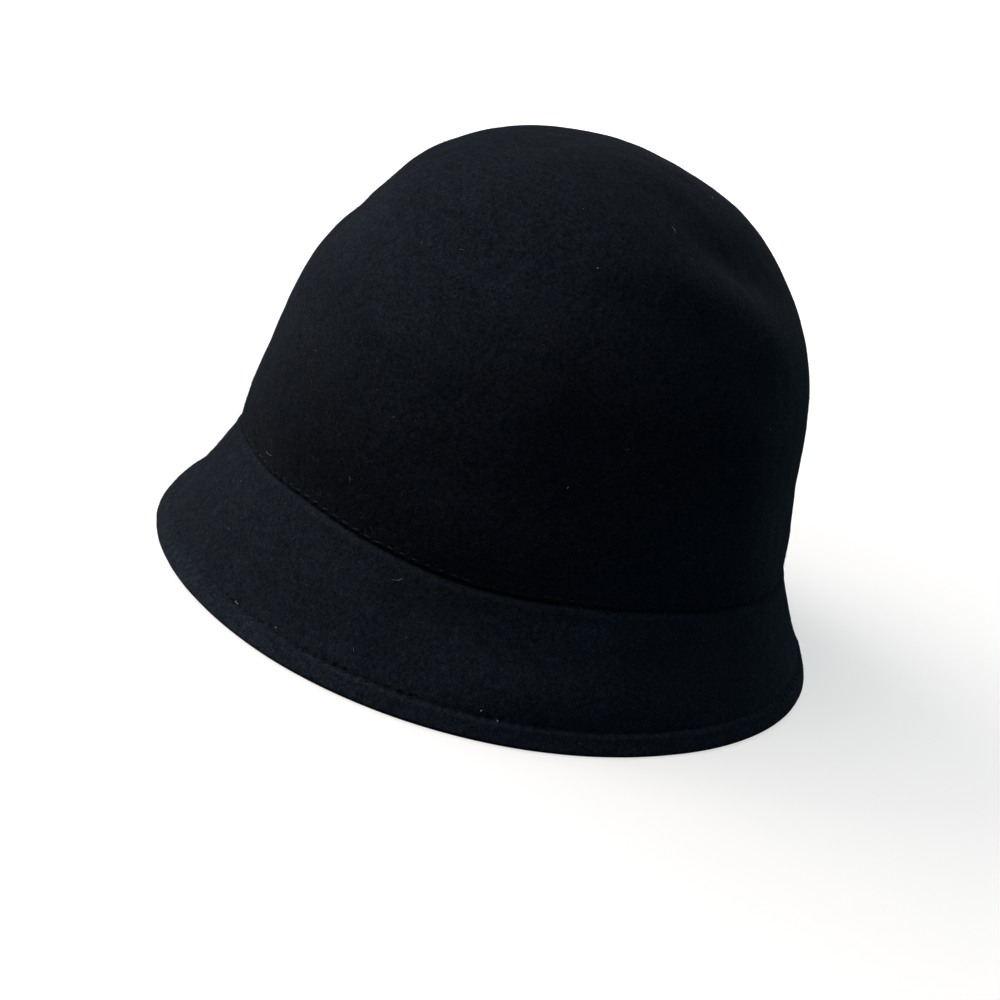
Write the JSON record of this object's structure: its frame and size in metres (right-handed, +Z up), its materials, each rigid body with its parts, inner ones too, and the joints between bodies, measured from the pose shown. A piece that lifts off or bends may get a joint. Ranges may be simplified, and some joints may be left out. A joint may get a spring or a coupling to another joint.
{
  "type": "cloche hat",
  "caption": "Plain felt cloche with a deep rounded crown sewn over a short flared brim whose edge is turned under and stitched; worn low on the head.",
  "frame": {"origin": "centre of the rim on the surface that the hat stands on", "axes": "+Z up through the crown, -Y towards the front of the hat, +X towards the wearer's left"},
  "size_m": [0.2188, 0.2375, 0.1654],
  "materials": {
    "felt": "blue-black wool felt, matt, with a short nap that catches light at grazing angles"
  },
  "bodies": {
    "root": {"crown": "felt", "brim": "felt"}
  },
  "joints": []
}
